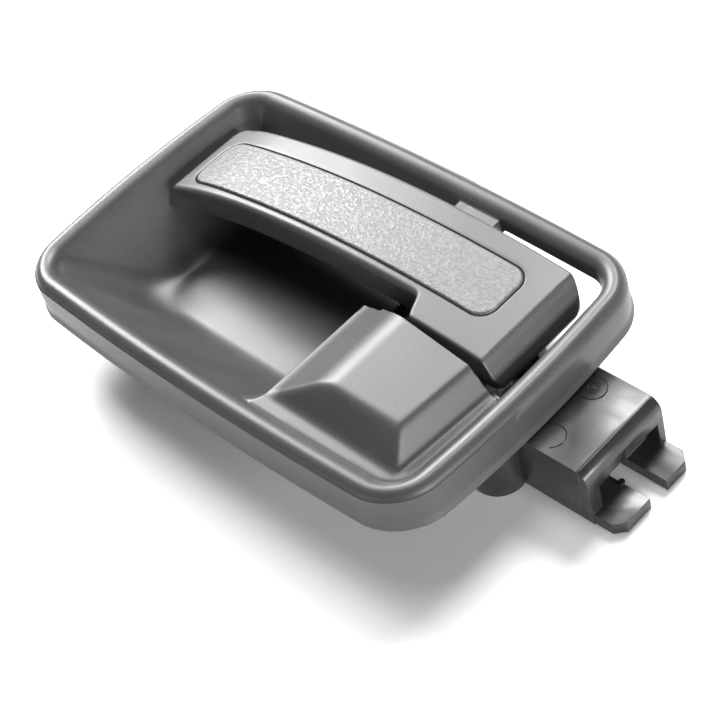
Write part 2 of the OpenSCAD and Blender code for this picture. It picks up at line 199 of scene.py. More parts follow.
def triangles(loops, loose):
    """Triangulates all the points; the loops' sides stay as edges.
    Gives the points, the triangles, and where each loop's points went."""
    points, edges, starts = [], [], []
    for loop in loops:
        at = len(points)
        starts.append(at)
        points += [Vector(p) for p in loop]
        edges += [(at + i, at + (i + 1) % len(loop)) for i in range(len(loop))]
    points += [Vector(p) for p in loose]
    verts, _, faces, came_from, *_ = delaunay_2d_cdt(points, edges, [], 0, 1e-5, True)
    went_to = {i: k for k, found in enumerate(came_from) for i in found}
    places = [[went_to[at + i] for i in range(len(loop))] for at, loop in zip(starts, loops)]
    return (np.array([tuple(v) for v in verts]), np.array([f for f in faces if len(f) == 3]), places)


class Skin:
    """Collects the faces of one mesh, and welds them at the end."""

    def __init__(self):
        self.verts, self.faces, self.count = [], [], 0

    def add(self, verts, faces, flip=False):
        faces = [tuple(int(i) + self.count for i in f) for f in faces]
        self.faces += [f[::-1] for f in faces] if flip else faces
        self.verts.append(np.asarray(verts, float))
        self.count += len(verts)

    def add_plan(self, points, tris, height, flip=False):
        self.add(np.column_stack([points, height]), tris, flip)

    def add_bands(self, rings, flip=False):
        """Closed rings of equal length, joined one to the next."""
        n = len(rings[0])
        faces = [(k * n + i, k * n + (i + 1) % n, (k + 1) * n + (i + 1) % n, (k + 1) * n + i)
                 for k in range(len(rings) - 1) for i in range(n)]
        self.add(np.concatenate(rings), faces, flip)

    def add_tube(self, x, y, z0, z1, outer, inner, n=28):
        """A tube standing along Z, closed at both ends, with a chamfer at its foot."""
        chamfer = 0.25
        a = np.linspace(0, 2 * np.pi, n, endpoint=False)

        def ring(r, z):
            return np.column_stack([x + r * np.cos(a), y + r * np.sin(a), np.full(n, z)])

        self.add_bands([ring(inner, z0), ring(outer - chamfer, z0), ring(outer, z0 + chamfer),
                        ring(outer, z1), ring(inner, z1), ring(inner, z0)])

    def add_box(self, x0, x1, y0, y1, z0, z1):
        v = [(x, y, z) for z in (z0, z1) for x, y in ((x0, y0), (x1, y0), (x1, y1), (x0, y1))]
        self.add(v, [(3, 2, 1, 0), (4, 5, 6, 7), (0, 1, 5, 4), (1, 2, 6, 5), (2, 3, 7, 6), (3, 0, 4, 7)])

    def add_sweep(self, path, r, sides=12):
        """A round bar along a path of points."""
        path = [Vector(p) for p in path]
        rings, up = [], Vector((0, 1, 0.02))
        for i, p in enumerate(path):
            d = (path[min(i + 1, len(path) - 1)] - path[max(i - 1, 0)]).normalized()
            u = d.cross(up).normalized()
            v = u.cross(d)
            rings.append([p + (u * math.cos(a) + v * math.sin(a)) * r
                          for a in np.linspace(0, 2 * np.pi, sides, endpoint=False)])
        at = self.count
        self.add_bands([np.array([tuple(v) for v in ring]) for ring in rings])
        self.faces.append(tuple(range(at + sides - 1, at - 1, -1)))
        self.faces.append(tuple(range(at + (len(path) - 1) * sides, at + len(path) * sides)))

    def mesh(self, name, weld=2e-4, crease=None):
        data = bpy.data.meshes.new(name)
        data.from_pydata([tuple(v) for v in np.concatenate(self.verts) * MM], [], self.faces)
        data.validate()
        tidy(data, weld * MM)
        data.shade_smooth()
        if crease:
            data.set_sharp_from_angle(angle=math.radians(crease))
        return data


def edited(data, change):
    """Runs change on the mesh's bmesh and writes it back."""
    bm = bmesh.new()
    bm.from_mesh(data)
    change(bm)
    bm.to_mesh(data)
    bm.free()


def tidy(data, weld):
    """Welds close points and turns every face outward."""
    def clean(bm):
        bmesh.ops.remove_doubles(bm, verts=bm.verts, dist=weld)
        bmesh.ops.dissolve_degenerate(bm, edges=bm.edges, dist=weld * 0.5)
        bmesh.ops.recalc_face_normals(bm, faces=bm.faces)

    edited(data, clean)


def baked(ob, name):
    """The object's mesh with its modifiers applied; the object itself goes."""
    bpy.context.view_layer.update()
    data = bpy.data.meshes.new_from_object(ob.evaluated_get(bpy.context.evaluated_depsgraph_get()))
    bpy.data.objects.remove(ob)
    data.name = name
    return data


def piece(name, data, body, slot, material, *nodes):
    """Adds the finished mesh as a piece of the object, riding on body if one is named."""
    ob = bpy.data.objects.new(name, data)
    bpy.context.scene.collection.objects.link(ob)
    data.materials.clear()
    data.materials.append(material)
    if body:
        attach(ob, body)
    if nodes:
        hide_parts(*nodes)
    return ob


# ---------------------------------------------------------------- materials


class Value:
    """A shader socket; arithmetic on it adds Math nodes."""

    def __init__(self, shade, socket):
        self.shade, self.socket = shade, socket

    def _math(self, kind, a, b):
        return self.shade.node("ShaderNodeMath", {"operation": kind}, [a, b])

    def __add__(self, other):
        return self._math("ADD", self, other)

    def __sub__(self, other):
        return self._math("SUBTRACT", self, other)

    def __rsub__(self, other):
        return self._math("SUBTRACT", other, self)

    def __mul__(self, other):
        return self._math("MULTIPLY", self, other)

    __radd__ = __add__
    __rmul__ = __mul__

    def span(self, a, b):
        """0 below a, 1 above b, smooth between."""
        return self.shade.node("ShaderNodeMapRange", {"interpolation_type": "SMOOTHSTEP", "clamp": True},
                               {"Value": self, "From Min": a, "From Max": b})


class Shade:
    """One material's node tree."""

    def __init__(self, name, **fixed):
        self.material = bpy.data.materials.new(name)
        self.material.use_nodes = True
        self.tree = self.material.node_tree
        self.surface = self.tree.nodes["Principled BSDF"]
        for key, value in fixed.items():
            self.surface.inputs[key.replace("_", " ")].default_value = value

    def node(self, kind, settings=(), inputs=(), out=0):
        """Adds a node: its settings first, then the values or links of its sockets."""
        made = self.tree.nodes.new(kind)
        for key, value in dict(settings).items():
            setattr(made, key, value)
        pairs = inputs.items() if isinstance(inputs, dict) else enumerate(inputs)
        for key, value in pairs:
            if isinstance(value, Value):
                self.tree.links.new(value.socket, made.inputs[key])
            else:
                made.inputs[key].default_value = value
        return Value(self, made.outputs[out])

    def place(self, stretch=(1, 1, 1)):
        """Object coordinates, stretched along each axis."""
        at = self.node("ShaderNodeTexCoord", out="Object")
        return self.node("ShaderNodeVectorMath", {"operation": "MULTIPLY"}, [at, stretch])

    def noise(self, at, scale, detail=2.0, rough=0.5):
        return self.node("ShaderNodeTexNoise", (), {"Vector": at, "Scale": scale, "Detail": detail,
                                                    "Roughness": rough})

    def cells(self, at, scale):
        return self.node("ShaderNodeTexVoronoi", {"feature": "F1"}, {"Vector": at, "Scale": scale})

    def mix(self, share, a, b):
        return self.node("ShaderNodeMix", {"data_type": "RGBA"}, {"Factor": share, 6: a, 7: b}, out=2)

    def bump(self, height, depth, strength=1.0):
        return self.node("ShaderNodeBump", (), {"Height": height, "Distance": depth * MM,
                                                "Strength": strength})

    def out(self, **links):
        """Links the surface's sockets and gives the finished material."""
        for key, value in links.items():
            self.tree.links.new(value.socket, self.surface.inputs[key.replace("_", " ")])
        return self.material


def grey(level):
    """The mouldings' grey, a touch cooler than neutral."""
    return (level * 0.95, level, level * 0.985, 1)


def satin_plastic(name, level, rough, grain):
    """Moulded grey plastic with a fine even spark-eroded grain and faint handling marks."""
    s = Shade(name, IOR=1.5)
    at = s.place()
    cloud = s.noise(at, 60, 3)
    speck = s.noise(at, 2400, 2, 0.6)
    fine = s.cells(at, 3200)
    worn = s.noise(s.place((1, 0.25, 1)), 240, 4, 0.7).span(0.62, 0.8)
    tone = (cloud * 0.5 + speck * 0.5).span(0.3, 0.72)
    colour = s.mix(tone, grey(level * 0.86), grey(level * 1.14))
    colour = s.mix(worn * 0.25, colour, grey(level * 1.5))
    height = fine * 0.6 + speck * 0.5
    return s.out(Base_Color=colour, Roughness=rough + (cloud - 0.5) * 0.14 + (speck - 0.5) * 0.1,
                 Normal=s.bump(height, grain, 0.7))


def leather_plastic(name, level):
    """The insert's fine leather grain: rounded pebbles with creases between them, with painted shade in
    the creases and painted light on the raised grain.
    """
    s = Shade(name, IOR=1.5)
    at = s.place((1, 1, 0.6))
    cloud = s.noise(at, 420, 2)
    swirl = s.node("ShaderNodeTexNoise", (), {"Vector": at, "Scale": 900.0}, out=1)
    push = s.node("ShaderNodeVectorMath", {"operation": "SCALE"}, {0: swirl, "Scale": 0.0007})
    shifted = s.node("ShaderNodeVectorMath", {"operation": "ADD"}, [at, push])
    pebbles = s.cells(shifted, 1500).span(0.05, 0.75)
    folds = s.noise(s.place((0.7, 1.2, 1)), 1250, 2, 0.6).span(0.36, 0.6)
    fine = s.noise(at, 3800, 2)
    height = folds * 0.6 - pebbles * 0.55 + fine * 0.2
    # The colour follows the bump: painted shade in the low creases, painted light on the pebble tops and
    # folds
    colour = s.mix(folds * 0.55 - pebbles * 0.4 + 0.45, grey(level * 0.7), grey(level * 1.15))
    colour = s.mix(cloud.span(0.45, 0.8) * 0.3, colour, grey(level * 1.25))
    return s.out(Base_Color=colour, Roughness=0.46 - folds * 0.08 + (fine - 0.5) * 0.1,
                 Normal=s.bump(height, 0.07))


def gloss_plastic(name, level):
    """Darker, smoother moulding, with flow streaks along the arm."""
    s = Shade(name, IOR=1.52, Coat_Roughness=0.12)
    at = s.place()
    cloud = s.noise(at, 110, 3)
    streak = s.noise(s.place((0.16, 1, 1)), 900, 3, 0.6)
    swirl = s.noise(s.place((0.3, 1, 0.6)), 160, 3, 0.6).span(0.42, 0.66)
    fine = s.noise(at, 2800, 2)
    colour = s.mix(cloud.span(0.35, 0.7), grey(level * 0.85), grey(level * 1.15))
    colour = s.mix(swirl * 0.5, colour, grey(level * 1.7))
    return s.out(Base_Color=colour, Roughness=0.30 + (cloud - 0.5) * 0.16 + streak.span(0.5, 0.8) * 0.1,
                 Coat_Weight=0.25 * swirl, Normal=s.bump(streak * 0.5 + fine * 0.3 + cloud * 2, 0.02, 0.6))


def metal(name, level, rough, tint=(1, 1, 1), scale=900):
    """Plated or cast metal with a light blotch and fine scratches."""
    s = Shade(name, Metallic=1.0)
    cloud = s.noise(s.place(), 300, 4)
    scratch = s.noise(s.place((0.2, 1, 1)), scale, 3, 0.7)
    low = tuple(level * 0.75 * t for t in tint) + (1,)
    high = tuple(level * 1.15 * t for t in tint) + (1,)
    colour = s.mix(cloud.span(0.3, 0.7), low, high)
    return s.out(Base_Color=colour, Roughness=rough + (scratch - 0.5) * 0.25,
                 Normal=s.bump(scratch + cloud, 0.012, 0.6))


def soft_polymer(name, colour, rough, depth):
    """Nylon or rubber with a faint mottle."""
    s = Shade(name, IOR=1.5)
    cloud = s.noise(s.place(), 420, 3)
    fine = s.noise(s.place(), 2600, 2)
    low = tuple(c * 0.82 for c in colour) + (1,)
    high = tuple(min(1, c * 1.1) for c in colour) + (1,)
    colour = s.mix(cloud.span(0.3, 0.7), low, high)
    return s.out(Base_Color=colour, Roughness=rough + (cloud - 0.5) * 0.2,
                 Normal=s.bump(cloud + fine * 0.4, depth, 0.7))


BEZEL_LOOK = satin_plastic("bezel_satin", 0.056, 0.39, 0.018)
LEVER_LOOK = satin_plastic("lever_satin", 0.066, 0.41, 0.015)
INSERT_LOOK = leather_plastic("insert_grain", 0.125)
BRACKET_LOOK = gloss_plastic("bracket_gloss", 0.019)
NODE_LOOKS = {
    "lever_core": metal("core_casting", 0.42, 0.48, (1, 1, 1.02), 500),
    "pivot_pin": metal("pin_steel", 0.62, 0.26),
    "pin_washer": metal("washer_zinc", 0.66, 0.32, (1, 0.99, 0.95)),
    "pin_clip": metal("clip_black_steel", 0.16, 0.38),
    "near_bush": soft_polymer("bush_nylon", (0.74, 0.72, 0.64), 0.42, 0.02),
    "far_bush": soft_polymer("far_bush_nylon", (0.74, 0.72, 0.64), 0.42, 0.02),
    "spring_spool": soft_polymer("spool_nylon", (0.7, 0.69, 0.62), 0.42, 0.02),
    "rod_clip": soft_polymer("rod_clip_nylon", (0.72, 0.71, 0.65), 0.40, 0.02),
    "rest_bumper": soft_polymer("rest_rubber", (0.02, 0.02, 0.021), 0.72, 0.04),
    "open_bumper": soft_polymer("open_rubber", (0.02, 0.02, 0.021), 0.72, 0.04),
    "bracket_washers": metal("bracket_washer_zinc", 0.64, 0.34, (1, 0.99, 0.95)),
    "fixing_inserts": metal("insert_brass", 0.7, 0.30, (1, 0.74, 0.36)),
}
SCREW_LOOK = metal("screw_zinc", 0.62, 0.30, (1, 0.99, 0.94))
SPRING_LOOK = metal("spring_wire", 0.5, 0.28)

# ---------------------------------------------------------------- bezel


def bowed(points):
    """Puts the bow of the sides and ends on points of the straight box."""
    x, y = points[:, 0], points[:, 1]
    return np.stack([x * (1 - END_BOW / HALF_LEN * (y / HALF_WID) ** 2),
                     y * (1 - SIDE_BOW / HALF_WID * (x / HALF_LEN) ** 2)], 1)


def unbowed(x, y):
    """The points of the straight box that the bow moves to x, y."""
    bx, by = x.copy(), y.copy()
    for _ in range(4):
        bx = x / (1 - END_BOW / HALF_LEN * (by / HALF_WID) ** 2)
        by = y / (1 - SIDE_BOW / HALF_WID * (bx / HALF_LEN) ** 2)
    return bx, by


def box_distance(x, y, x0, x1, y0, y1, r):
    """Signed distance from a box with round corners, negative inside."""
    qx = np.abs(x - (x0 + x1) / 2) - ((x1 - x0) / 2 - r)
    qy = np.abs(y - (y0 + y1) / 2) - ((y1 - y0) / 2 - r)
    return np.hypot(np.maximum(qx, 0), np.maximum(qy, 0)) + np.minimum(np.maximum(qx, qy), 0) - r


def rim_loop(inset, fine):
    """The bezel's outline drawn in by inset, with the same number of points for every inset."""
    hx, hy, r = HALF_LEN - inset, HALF_WID - inset, max(CORNER_R - inset, 1.0)
    corner, long_side, short_side = int(20 * fine), int(130 * fine), int(72 * fine)

    def side(p, q, n):
        return np.linspace(p, q, n, endpoint=False)[1:]

    return bowed(np.concatenate([
        arc(hx - r, hy - r, r, 0, 90, corner), side((hx - r, hy), (r - hx, hy), long_side),
        arc(r - hx, hy - r, r, 90, 180, corner), side((-hx, hy - r), (-hx, r - hy), short_side),
        arc(r - hx, r - hy, r, 180, 270, corner), side((r - hx, -hy), (hx - r, -hy), long_side),
        arc(hx - r, r - hy, r, 270, 360, corner), side((hx, r - hy), (hx, hy - r), short_side)]))


def outline_depth(x, y):
    """How far in from the bezel's outline each point lies."""
    bx, by = unbowed(x, y)
    return -box_distance(bx, by, -HALF_LEN, HALF_LEN, -HALF_WID, HALF_WID, CORNER_R)


def rim_height(d):
    """Height of the rim at a distance d in from the outline."""
    outer = CREST_Z - ROLL_DROP + ROLL_DROP * np.sqrt(np.clip(1 - ((ROLL_R - d) / ROLL_R) ** 2, 0, 1))
    inner = CREST_Z - FLANK_R + np.sqrt(np.clip(FLANK_R ** 2 - (d - ROLL_R) ** 2, 0.1, None))
    foot = DECK_Z - FOOT_SLOPE * (d - RIM_W)
    return np.where(d <= ROLL_R, outer, np.where(d <= RIM_W, inner, foot))


def dish_height(bx, by):
    """The dish: a wall of even slope that follows the rim, rounded into the floor."""
    low, high = np.full(bx.shape, -1.0), np.full(bx.shape, 1.6)
    left, right, near, far = DISH_LEAN
    for _ in range(16):
        f = (low + high) / 2
        d = box_distance(bx, by, INNER_X0 + left * f, DISH_X1 - right * f, -INNER_Y - 0.15 + near * f,
                         INNER_Y + 0.15 - far * f, np.clip(DISH_R + 4 * f, 1.5, 12))
        low, high = np.where(d < 0, f, low), np.where(d < 0, high, f)
    return smooth_max(DECK_Z - (DECK_Z - FLOOR_Z) * (low + high) / 2, np.full(bx.shape, FLOOR_Z), 4.5)


def hump_far_edge(x):
    """The hump's edge beside the lever, which runs a little askew."""
    return -2.3 - (x - 29.5) * 0.105


def front_height(x, y):
    """Height of the bezel's front, without the line on the ledge."""
    bx, by = unbowed(x, y)
    d = outline_depth(x, y)
    left, near, right = HUMP_SLOPES
    hump = smooth_min(np.full(x.shape, HUMP_Z + 0.1), HUMP_Z + left * (x - HUMP_LEFT), 1.5)
    hump = smooth_min(hump, HUMP_Z + near * (y - HUMP_NEAR), 1.3)
    hump = smooth_min(hump, HUMP_Z - right * (x - HUMP_RIGHT - HUMP_SKEW * (y + 22)), 1.3)
    land = smooth_max(np.full(x.shape, DECK_Z), hump, 1.0)
    land = smooth_min(land, dish_height(bx, by), 1.4)
    # Under the lever the floor steps up, and a low wall ends it at the opening
    step = np.where(x < STEP_X1, STEP_Z, STEP_WALL_Z)
    # A small flat tab stands against the far rim where the opening starts
    on_tab = (x > TAB_X[0]) & (x < TAB_X[1]) & (y > TAB_Y)
    step = np.where(on_tab, TAB_Z, step)
    fall = step + STEEP * np.maximum(0, hump_far_edge(x) + 1.0 - y)
    fall = fall + np.maximum(0, STEP_X0 - x) * STEEP
    lifted = np.maximum(land, np.where((x > STEP_X0) & (y > -1.2), step, -99.0))
    land = np.where(x > STEP_X0, smooth_min(lifted, fall, 0.8), land)
    land = np.where(on_tab & (x <= STEP_X0), TAB_Z, land)
    return smooth_max(rim_height(np.maximum(d, 0)), land, 0.5)


def opening_loop(spacing):
    """The opening round the lever's root: it follows the hump on one side and the rim on the others."""
    corner_x, corner_y = INNER_X1 - OPENING_R, INNER_Y - OPENING_R
    near = np.array([(x, hump_far_edge(x) + 1.0) for x in np.linspace(OPENING_X0, 55.6, 12)])
    right = bowed(np.array([(INNER_X1, y) for y in (-2.6, 10, 20, corner_y)]))
    corner = bowed(arc(corner_x, corner_y, OPENING_R, 4, 90, 10))
    far = bowed(np.array([(x, INNER_Y) for x in (44, 36, 30, OPENING_X0)]))
    far[-1, 0] = OPENING_X0
    return respaced(np.concatenate([near, right, corner, far]), spacing)


def back_height(points):
    """Height of the inside face: the front, worn away by a ball as thick as the wall."""
    step, margin = 0.5, 3
    xs = np.arange(-HALF_LEN - margin, HALF_LEN + margin, step)
    ys = np.arange(-HALF_WID - margin, HALF_WID + margin, step)
    gx, gy = np.meshgrid(xs, ys, indexing="ij")
    front, d = front_height(gx.ravel(), gy.ravel()), outline_depth(gx.ravel(), gy.ravel())
    front = np.where(d > 0, front, CREST_Z - ROLL_DROP).reshape(gx.shape)
    worn, reach = front - WALL, int(WALL / step)
    for i in range(-reach, reach + 1):
        for j in range(-reach, reach + 1):
            rr = (i * i + j * j) * step * step
            if rr < WALL ** 2:
                moved = np.roll(front, (i, j), (0, 1)) - math.sqrt(WALL ** 2 - rr)
                worn = np.minimum(worn, moved)
    u, v = (points[:, 0] - xs[0]) / step, (points[:, 1] - ys[0]) / step
    i, j = u.astype(int), v.astype(int)
    fu, fv = u - i, v - j
    return ((worn[i, j] * (1 - fu) + worn[i + 1, j] * fu) * (1 - fv)
            + (worn[i, j + 1] * (1 - fu) + worn[i + 1, j + 1] * fu) * fv)


OUTER_INSET, CLEAR = 0.6, 0.12        # where the front's points start, and how far they keep off an edge
RIM_INSETS = [OUTER_INSET, 0.75, 0.95, 1.2, 1.5, 1.85, WALL, 2.8, ROLL_R,
              3.7, 4.2, 4.7, 5.2, 5.7, 6.1, RIM_W, 6.6, 7.0]
# The skirt's outside from its foot up: how far in, and how high
SKIRT_LINE = [(0.0, 0.0), (0.0, 0.35), (0.5, 1.0), (0.45, 2.6), (0.42, 4.4), (0.46, 5.6), (0.52, 6.6)]
# Lines of points take the place of loose ones on three strips, measured from the edge that each follows
HUMP_STRIP = (-1.9, 1.2)
HUMP_LINES = (-1.7, -1.3, -0.95, -0.7, -0.5, -0.3, -0.1, 0.1, 0.3, 0.5, 0.7, 0.82)
DISH_STRIP = (-4.6, 1.6)
TAB_STRIP = 0.7
TAB_LINES = (-0.5, -0.12, 0.12, 0.5)


def off_edge(points, hole, gap):
    """The points that lie outside the hole by more than gap."""
    return points[~inside(points, hole) & (distance_to(points, hole) > gap)]


def within_rim(points, depth):
    """The points that lie farther in from the bezel's outline than depth."""
    return points[outline_depth(*points.T) > depth]


def front_points(hole, spacing):
    """The points that carry the bezel's front inside the rim, closer together where it is steep."""
    past_rim = RIM_INSETS[-1] + spacing * 0.5
    loose = within_rim(grid_points(-HALF_LEN, HALF_LEN, -HALF_WID, HALF_WID, spacing), past_rim)
    loose = off_edge(loose, hole, spacing * 0.45)
    # Lines of points along the hump's far edge and along the raised floor's near edge
    strip_x0 = STEP_X0 - 1.5
    x, beside = loose[:, 0], loose[:, 1] - hump_far_edge(loose[:, 0])
    loose = loose[~((x > strip_x0) & (x < 56) & (beside > HUMP_STRIP[0]) & (beside < HUMP_STRIP[1]))]
    hump_lines = np.array([(x, hump_far_edge(x) + b)
                           for x in np.arange(STEP_X0 - 1.2, 55.4, spacing * 0.8) for b in HUMP_LINES])
    hump_lines = off_edge(hump_lines, hole, CLEAR)
    # The same along the dish's steep right wall, beside the hump
    bx, by = unbowed(*loose.T)
    on_wall = (bx > DISH_X1 + DISH_STRIP[0]) & (bx < DISH_X1 + DISH_STRIP[1])
    loose = loose[~(on_wall & (by > -33) & (loose[:, 1] < -0.9))]
    wall_lines = bowed(np.array([(DISH_X1 + b, y) for b in np.arange(-4.4, 1.5, 0.2)
                                 for y in np.arange(-32.8, 0, spacing)]))
    x, y = wall_lines.T
    wall_lines = wall_lines[(x < strip_x0) & (y < -1) | (y - hump_far_edge(x) < HUMP_STRIP[0])]
    wall_lines = within_rim(wall_lines, past_rim)
    # The same on the tab
    x, y = loose.T
    near_tab = (x > TAB_X[0] - TAB_STRIP) & (x < TAB_X[1] + TAB_STRIP) & (y > TAB_Y - TAB_STRIP)
    tab_x = [x + b for x in TAB_X for b in TAB_LINES] + list(np.arange(TAB_X[0] + 1, TAB_X[1], 0.8))
    tab_y = [TAB_Y + b for b in TAB_LINES] + list(np.arange(TAB_Y + 1, 34.6, 0.3))
    tab_lines = within_rim(np.array([(x, y) for x in tab_x for y in tab_y]), RIM_W + 0.1)
    loose = np.concatenate([loose[~near_tab], hump_lines, wall_lines, tab_lines])
    return off_edge(loose, hole, CLEAR)


def build_bezel():
    """The bezel as one closed shell: front, inside face, opening and skirt, with its bosses and ribs."""
    fine = 1.0
    spacing = 0.5
    hole = opening_loop(spacing)
    loose = front_points(hole, spacing)
    loops = {i: rim_loop(i, fine) for i in RIM_INSETS}
    rings = [off_edge(loops[i], hole, CLEAR) for i in RIM_INSETS if i not in (OUTER_INSET, WALL)]
    wall_ring = loops[WALL]
    points, tris, (first, inner, cut) = triangles(
        [loops[OUTER_INSET], wall_ring, hole], np.concatenate([r for r in rings if len(r)] + [loose]))
    middle = points[tris].mean(1)
    depth = outline_depth(*middle.T)
    shown = (depth > OUTER_INSET - 0.02) & ~inside(middle, hole)
    front, d = front_height(*points.T), outline_depth(*points.T)
    # A fine moulded line at the rim's foot on the ledge
    line_in, line_w, line_deep = 0.25, 0.16, 0.14
    groove = np.exp(-((d - RIM_W - line_in) / line_w) ** 2) * (points[:, 0] > 12) * (points[:, 1] < 3)
    front = front - line_deep * groove
    skin = Skin()
    skin.add_plan(points, tris[shown], front)
    # The wall is thinner where the rim overhangs the opening's far side
    back = back_height(points)
    back += 1.6 * ease((points[:, 1] - 31) / 2) * ease((points[:, 0] - 23.6) / 1.5) * (points[:, 1] < 36.5)
    skin.add_plan(points, tris[shown & (depth > WALL)], back, flip=True)
    # The opening's cut faces
    skin.add_bands([np.column_stack([points[cut], height[cut]]) for height in (front, back)])
    # Outside wall, foot and inside of the skirt
    walls = [np.column_stack([rim_loop(i, fine), np.full(len(first), z)]) for i, z in SKIRT_LINE]
    walls.append(np.column_stack([points[first], front[first]]))
    skin.add_bands(walls)
    base = np.zeros(len(wall_ring))
    skin.add_bands([walls[0], np.column_stack([rim_loop(0.3, fine), base]),
                    np.column_stack([wall_ring, base]),
                    np.column_stack([points[inner], back[inner]])], flip=True)
    # Screw bosses, and ribs that stiffen the underside of the ledge
    for x, y in FOOT_SCREWS:
        skin.add_tube(x, y, z0=FLOOR_Z - 2.0, z1=-4.0, outer=3.4, inner=1.3)
    skin.add_tube(*HUMP_SCREW, z0=4.0, z1=12.4, outer=3.6, inner=1.25)
    rib, rib_z0, rib_z1 = 0.7, 1.2, 5.0
    for x in (-46, -30, -14, 2):
        for side in (-1, 1):
            skin.add_box(x - rib, x + rib, *sorted((side * 34.4, side * 38.0)), rib_z0, rib_z1)
    for y in (-20, -7, 7, 20):
        skin.add_box(-61.0, -58.0, y - rib, y + rib, rib_z0, rib_z1)
    return skin.mesh("bezel_moulding", crease=50)


piece("bezel_moulding", build_bezel(), "housing", "bezel_plastic", BEZEL_LOOK, "bezel")

# ---------------------------------------------------------------- lever cover and insert

ARCH_Z, ARCH_TILT, ARCH_BOW = 13.6, 2.32, 3.18      # the back's height, its tilt and its bow over 50 mm
TAIL_X, TAIL_DROP = -37, 1.1          # the free end falls faster from here
GRIP_X0, GRIP_Y0, GRIP_Y1 = -52.9, 4.6, 28.2
ROOT_X0, WIDE_Y0 = 29.0, -0.9         # past here the root is wider than the grip
BEND_X, END_X, END_Z = 51.2, 54.6, 6.1              # the back bends down here, to the root's end face
SIDE_DEPTH, SIDE_TAPER = 7.4, 2.7     # the side walls' depth, and how much of it goes at the free end
LEVER_WALL = 2.2
POCKET_GAP, POCKET_DEPTH = 0.35, 1.3
INSERT_X0, INSERT_X1, INSERT_Y0, INSERT_Y1 = -48.8, 44.6, 7.2, 22.1
INSERT_R = 4                          # the insert's corners
INSERT_EDGE = 0.5                     # the roll of its top edge
PROUD = insert_hi.z - cover_hi.z      # how far it stands above the lever's back


def arch(x):
    """Height of the lever's back, which drops faster towards its free end."""
    fall = TAIL_DROP * np.clip((TAIL_X - x) / 15, 0, None) ** 2
    return ARCH_Z + ARCH_TILT * (x / 50) - ARCH_BOW * (x / 50) ** 2 - fall


def lever_top(x):
    """The lever's back with its bend down to the end face."""
    slope = arch(np.full(x.shape, BEND_X)) - (x - BEND_X) * (arch(BEND_X) - END_Z) / (END_X - BEND_X)
    return smooth_min(arch(x), slope, 1.1)


def lever_foot(x):
    """Height of the side walls' lower edge."""
    depth = SIDE_DEPTH - SIDE_TAPER * ease((-40 - x) / 12)
    return np.where(x < BEND_X, arch(np.minimum(x, BEND_X)) - depth,
                    arch(BEND_X) - SIDE_DEPTH + (x - BEND_X) * 0.16)


def sway(x):
    """How far the lever's centre line curves towards the near side at x."""
    return -np.where(x < 0, 1.5, 0.45) * (x / 50) ** 2


def lever_outline(spacing):
    """A straight grip with a bowed far edge, and a wide root past the notch."""
    t = np.linspace(0.06, 0.94, 24)
    far = np.stack([END_X - 5 - (END_X - 10 - GRIP_X0) * t, GRIP_Y1 + 2.4 * t * (1 - t) - 0.4], 1)
    turn = np.linspace(0, 1, 9)
    notch = np.stack([ROOT_X0 - 1.4 + 3.6 * turn, GRIP_Y0 - (GRIP_Y0 - WIDE_Y0) * ease(turn)], 1)
    outline = np.concatenate([
        arc(END_X - 5, GRIP_Y1 - 5.4, 5, 0, 90, 12), far,
        arc(GRIP_X0 + 3.6, GRIP_Y1 - 4.0, 3.6, 92, 180, 10),
        arc(GRIP_X0 + 1.5, GRIP_Y0 + 0.9, 1.6, 180, 262, 9),
        [(-42, GRIP_Y0 - 0.4), (-30, GRIP_Y0), (4, GRIP_Y0)], notch, [(42, WIDE_Y0)],
        arc(END_X - 1.6, WIDE_Y0 + 1.6, 1.6, 270, 360, 7)])
    outline = respaced(outline, spacing)
    outline[:, 1] += sway(outline[:, 0])
    return outline


def roll_radius(x, y):
    """Radius of the lever's top edge: full along the near side of the grip, small elsewhere."""
    near = ease((15 - y) / 6) * ease((29.5 - x) / 3)
    left = ease((-44 - x) / 5)
    return (0.7 + 0.7 * np.maximum(near, left * 0.8)) * (1 - 0.4 * ease((x - 50) / 2))


def pocket_loop(gap, spacing):
    """The edge of the insert's pocket, a gap outside the insert."""
    loop = round_box_loop(INSERT_X0 - gap, INSERT_X1 + gap, INSERT_Y0 - gap, INSERT_Y1 + gap,
                          INSERT_R + gap, spacing)
    loop[:, 1] += sway(loop[:, 0])
    return loop


def lever_area(outline, spacing, gap):
    """Loose points inside the lever's outline, more than gap from it."""
    loose = grid_points(-53, 56, -3, 31, spacing)
    return loose[inside(loose, outline) & (distance_to(loose, outline) > gap)]


